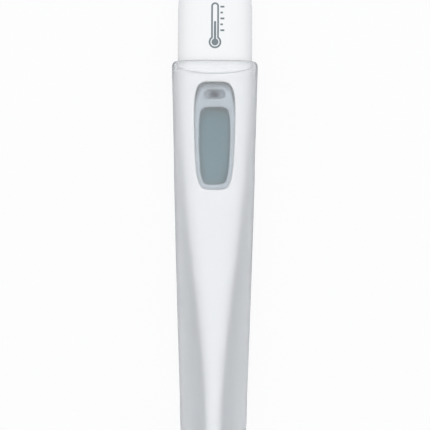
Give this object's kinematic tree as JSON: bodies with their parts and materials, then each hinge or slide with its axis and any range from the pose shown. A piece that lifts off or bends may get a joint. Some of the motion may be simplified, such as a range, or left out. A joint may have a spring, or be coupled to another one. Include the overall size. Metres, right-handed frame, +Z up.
{
  "type": "digital thermometer",
  "caption": "Slim white pencil-type digital thermometer with a grey-framed display and button, stored tip first in a frosted translucent slip-on case.",
  "frame": {"origin": "on the resting surface, under the middle of the whole length of the stored thermometer", "axes": "+X across, +Y along the length towards the battery cover, +Z up through the display"},
  "size_m": [0.0222, 0.1352, 0.0126],
  "materials": {
    "storage_case": "frosted translucent polypropylene, satin",
    "main_housing": "white ABS, glossy",
    "battery_cover": "white ABS, glossy",
    "display_frame": "blue-grey satin plastic",
    "display_window": "clear polycarbonate",
    "power_button": "grey satin plastic, darker in its dish",
    "lcd_polarizer": "grey-green polarising film",
    "lcd_glass": "clear display glass",
    "lcd_backing": "reflecting film",
    "lcd_holder": "moulded plastic",
    "zebra_strip_left": "layered conductive rubber",
    "zebra_strip_right": "layered conductive rubber",
    "circuit_board": "green glass-epoxy laminate",
    "switch_dome": "sprung stainless steel",
    "ic_blob": "black epoxy",
    "reference_resistor": "black chip with tinned ends",
    "filter_capacitor": "tan ceramic chip with tinned ends",
    "inner_frame": "moulded plastic",
    "button_cell": "nickel-plated steel can",
    "battery_contact_negative": "nickel-plated spring strip",
    "battery_contact_positive": "nickel-plated spring strip",
    "sounder_plate": "brass sheet",
    "sounder_ceramic": "silvered ceramic",
    "sounder_spring_plate": "plated spring wire",
    "sounder_spring_ceramic": "plated spring wire",
    "probe_tip": "polished stainless steel",
    "tip_potting": "brown epoxy",
    "thermistor": "glass-coated bead",
    "thermistor_lead_left": "tinned wire",
    "thermistor_lead_right": "tinned wire"
  },
  "bodies": {
    "case_body": {"storage_case": "storage_case"},
    "thermometer_body": {"main_housing": "main_housing", "display_frame": "display_frame", "display_window": "display_window", "lcd_polarizer": "lcd_polarizer", "lcd_glass": "lcd_glass", "lcd_backing": "lcd_backing", "lcd_holder": "lcd_holder", "zebra_strip_left": "zebra_strip_left", "zebra_strip_right": "zebra_strip_right", "circuit_board": "circuit_board", "switch_dome": "switch_dome", "ic_blob": "ic_blob", "reference_resistor": "reference_resistor", "filter_capacitor": "filter_capacitor", "inner_frame": "inner_frame", "button_cell": "button_cell", "battery_contact_negative": "battery_contact_negative", "battery_contact_positive": "battery_contact_positive", "sounder_plate": "sounder_plate", "sounder_ceramic": "sounder_ceramic", "sounder_spring_plate": "sounder_spring_plate", "sounder_spring_ceramic": "sounder_spring_ceramic", "probe_tip": "probe_tip", "tip_potting": "tip_potting", "thermistor": "thermistor", "thermistor_lead_left": "thermistor_lead_left", "thermistor_lead_right": "thermistor_lead_right"},
    "power_button_body": {"power_button": "power_button"},
    "battery_cover_body": {"battery_cover": "battery_cover"}
  },
  "joints": [
    {"name": "thermometer_pull_out", "type": "slide", "parent": "case_body", "child": "thermometer_body", "axis": [0, 1, 0], "range_m": [0, 0.115]},
    {"name": "power_button_press", "type": "slide", "parent": "thermometer_body", "child": "power_button_body", "axis": [0, 0, -1], "range_m": [0, 0.00035], "stiffness_N_per_m": 800, "springref_m": -0.0008},
    {"name": "battery_cover_pull_off", "type": "slide", "parent": "thermometer_body", "child": "battery_cover_body", "axis": [0, 1, 0], "range_m": [0, 0.03]}
  ]
}
